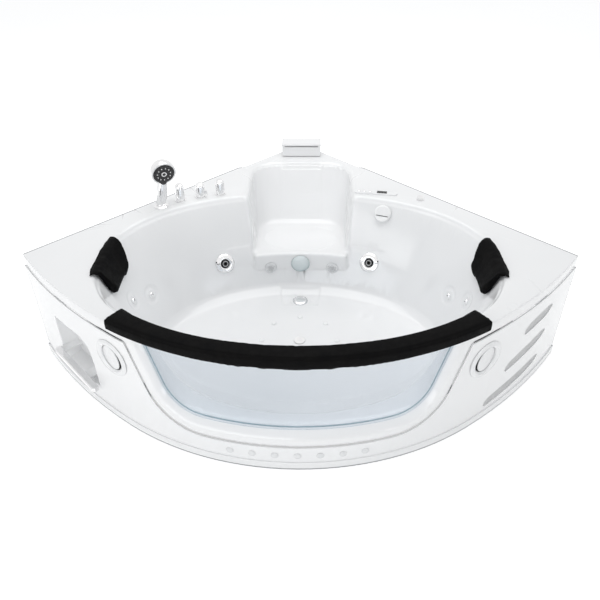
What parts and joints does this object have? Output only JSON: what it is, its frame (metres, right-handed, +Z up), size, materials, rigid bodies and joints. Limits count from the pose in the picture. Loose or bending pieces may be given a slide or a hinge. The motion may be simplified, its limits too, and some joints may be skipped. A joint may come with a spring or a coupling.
{
  "type": "jetted bathtub",
  "caption": "Corner jetted bath with a built-in seat, a glazed curved front, a skirt with a towel rail, headrests, swivelling jets, taps and a hand shower.",
  "frame": {"origin": "centre of the bounding box on the room floor, under the bath", "axes": "+Z up, +Y towards the room corner at the back, +X towards the right outer corner when facing the glazed front"},
  "size_m": [2.127, 1.6965, 0.691],
  "materials": {
    "acrylic": "gloss",
    "grey_plastic": "satin",
    "glass": "clear",
    "grey_rubber": "matte",
    "chrome": "polished",
    "pipe": "matte",
    "white_plastic": "gloss",
    "black_plastic": "gloss",
    "dark_plastic": "matte",
    "lens": "frosted",
    "frame_steel": "satin",
    "motor": "satin",
    "box_plastic": "matte",
    "foam": "satin"
  },
  "bodies": {
    "bath": {"tub_shell": "acrylic", "skirt_panel": "acrylic", "slot_inlays": "grey_plastic", "window_glass": "glass", "window_seal": "grey_rubber", "waterfall_body": "acrylic", "waterfall_cover": "acrylic", "shower_holder": "chrome", "tap_bodies": "chrome", "overflow_body": "chrome", "drain_body": "chrome", "drain_trap": "pipe", "jet_bodies": "white_plastic", "side_jet_bodies": "white_plastic", "suction_bodies": "white_plastic", "suction_covers": "chrome", "lamp_housing": "white_plastic", "lamp_lens": "lens", "floor_air_jets": "white_plastic", "floor_lamp": "chrome", "panel_bezel": "white_plastic", "panel_display": "black_plastic", "air_valve_body": "chrome", "towel_rail": "acrylic", "rail_brackets": "acrylic", "speaker_rings": "white_plastic", "speaker_covers": "white_plastic", "speaker_drivers": "dark_plastic", "led_lenses": "lens", "support_frame": "frame_steel", "frame_feet": "frame_steel", "pump_body": "dark_plastic", "pump_motor": "motor", "air_blower": "dark_plastic", "control_box": "box_plastic", "water_pipes": "pipe", "air_pipes": "pipe", "front_cushion": "foam"},
    "hand_shower": {"shower_handset": "chrome", "shower_face": "black_plastic", "shower_nozzles": "white_plastic"},
    "hot_tap": {"hot_tap_handle": "chrome"},
    "diverter": {"diverter_handle": "chrome"},
    "cold_tap": {"cold_tap_handle": "chrome"},
    "overflow_turn": {"overflow_knob": "white_plastic"},
    "plug": {"drain_plug": "chrome"},
    "ring_left": {"jet_ring_left": "chrome"},
    "ring_right": {"jet_ring_right": "chrome"},
    "ball_left": {"jet_ball_left": "black_plastic"},
    "ball_right": {"jet_ball_right": "black_plastic"},
    "nozzle_1": {"side_nozzle_1": "chrome"},
    "nozzle_2": {"side_nozzle_2": "chrome"},
    "nozzle_3": {"side_nozzle_3": "chrome"},
    "nozzle_4": {"side_nozzle_4": "chrome"},
    "jets_button": {"button_jets": "chrome"},
    "air_button": {"button_air": "chrome"},
    "light_button": {"button_light": "chrome"},
    "air_valve_knob": {"air_knob": "chrome"},
    "headrest_left": {"pillow_left": "foam"},
    "headrest_right": {"pillow_right": "foam"}
  },
  "joints": [
    {"name": "hand_shower_lift", "type": "slide", "parent": "bath", "child": "hand_shower", "axis": [0, 0, 1], "range_m": [0, 0.3]},
    {"name": "hot_tap_turn", "type": "hinge", "parent": "bath", "child": "hot_tap", "pos_m": [-0.521, 0.22154, 0.48], "axis": [0, 0, 1], "range_deg": [0, 90]},
    {"name": "diverter_turn", "type": "hinge", "parent": "bath", "child": "diverter", "pos_m": [-0.438, 0.25599, 0.48], "axis": [0, 0, 1], "range_deg": [0, 90]},
    {"name": "cold_tap_turn", "type": "hinge", "parent": "bath", "child": "cold_tap", "pos_m": [-0.354, 0.28053, 0.48], "axis": [0, 0, 1], "range_deg": [-90, 0]},
    {"name": "overflow_turn_hinge", "type": "hinge", "parent": "bath", "child": "overflow_turn", "pos_m": [0.36071, 0.20326, 0.428], "axis": [-0.3068, -0.861, 0.4057], "range_deg": [0, 120]},
    {"name": "plug_lift", "type": "slide", "parent": "bath", "child": "plug", "axis": [0, 0, 1], "range_m": [0, 0.012]},
    {"name": "ring_left_turn", "type": "hinge", "parent": "bath", "child": "ring_left", "pos_m": [-0.33588, 0.11454, 0.222], "axis": [0.3575, -0.8406, 0.4069], "range_deg": [-90, 90]},
    {"name": "ball_left_tilt", "type": "hinge", "parent": "ring_left", "child": "ball_left", "pos_m": [-0.33731, 0.1179, 0.22037], "axis": [0.9202, 0.3914, 0], "range_deg": [-12, 12]},
    {"name": "ring_right_turn", "type": "hinge", "parent": "bath", "child": "ring_right", "pos_m": [0.30724, 0.12602, 0.222], "axis": [-0.3234, -0.8568, 0.4016], "range_deg": [-90, 90]},
    {"name": "ball_right_tilt", "type": "hinge", "parent": "ring_right", "child": "ball_right", "pos_m": [0.30853, 0.12945, 0.22039], "axis": [0.9356, -0.3531, 0], "range_deg": [-12, 12]},
    {"name": "nozzle_1_turn", "type": "hinge", "parent": "bath", "child": "nozzle_1", "pos_m": [0.61435, -0.131, 0.232], "axis": [-0.8346, -0.3503, 0.4252], "range_deg": [-90, 90]},
    {"name": "nozzle_2_turn", "type": "hinge", "parent": "bath", "child": "nozzle_2", "pos_m": [0.66013, -0.23436, 0.28], "axis": [-0.9114, -0.0432, 0.4092], "range_deg": [-90, 90]},
    {"name": "nozzle_3_turn", "type": "hinge", "parent": "bath", "child": "nozzle_3", "pos_m": [-0.61435, -0.131, 0.232], "axis": [0.8346, -0.3503, 0.4252], "range_deg": [-90, 90]},
    {"name": "nozzle_4_turn", "type": "hinge", "parent": "bath", "child": "nozzle_4", "pos_m": [-0.66013, -0.23436, 0.28], "axis": [0.9114, -0.0432, 0.4092], "range_deg": [-90, 90]},
    {"name": "jets_button_press", "type": "slide", "parent": "bath", "child": "jets_button", "axis": [0, 0, -1], "range_m": [0, 0.0015], "stiffness_N_per_m": 400, "springref_m": -0.002},
    {"name": "air_button_press", "type": "slide", "parent": "bath", "child": "air_button", "axis": [0, 0, -1], "range_m": [0, 0.0015], "stiffness_N_per_m": 400, "springref_m": -0.002},
    {"name": "light_button_press", "type": "slide", "parent": "bath", "child": "light_button", "axis": [0, 0, -1], "range_m": [0, 0.0015], "stiffness_N_per_m": 400, "springref_m": -0.002},
    {"name": "air_valve_turn", "type": "hinge", "parent": "bath", "child": "air_valve_knob", "pos_m": [0.52, 0.2337, 0.48], "axis": [0, 0, 1], "range_deg": [0, 270]},
    {"name": "headrest_left_lift", "type": "slide", "parent": "bath", "child": "headrest_left", "axis": [0, 0, 1], "range_m": [0, 0.15]},
    {"name": "headrest_right_lift", "type": "slide", "parent": "bath", "child": "headrest_right", "axis": [0, 0, 1], "range_m": [0, 0.15]}
  ],
  "couplings": [
    {"joint": "overflow_turn_hinge", "follows": "plug_lift", "rad_per_m": 174.53}
  ]
}
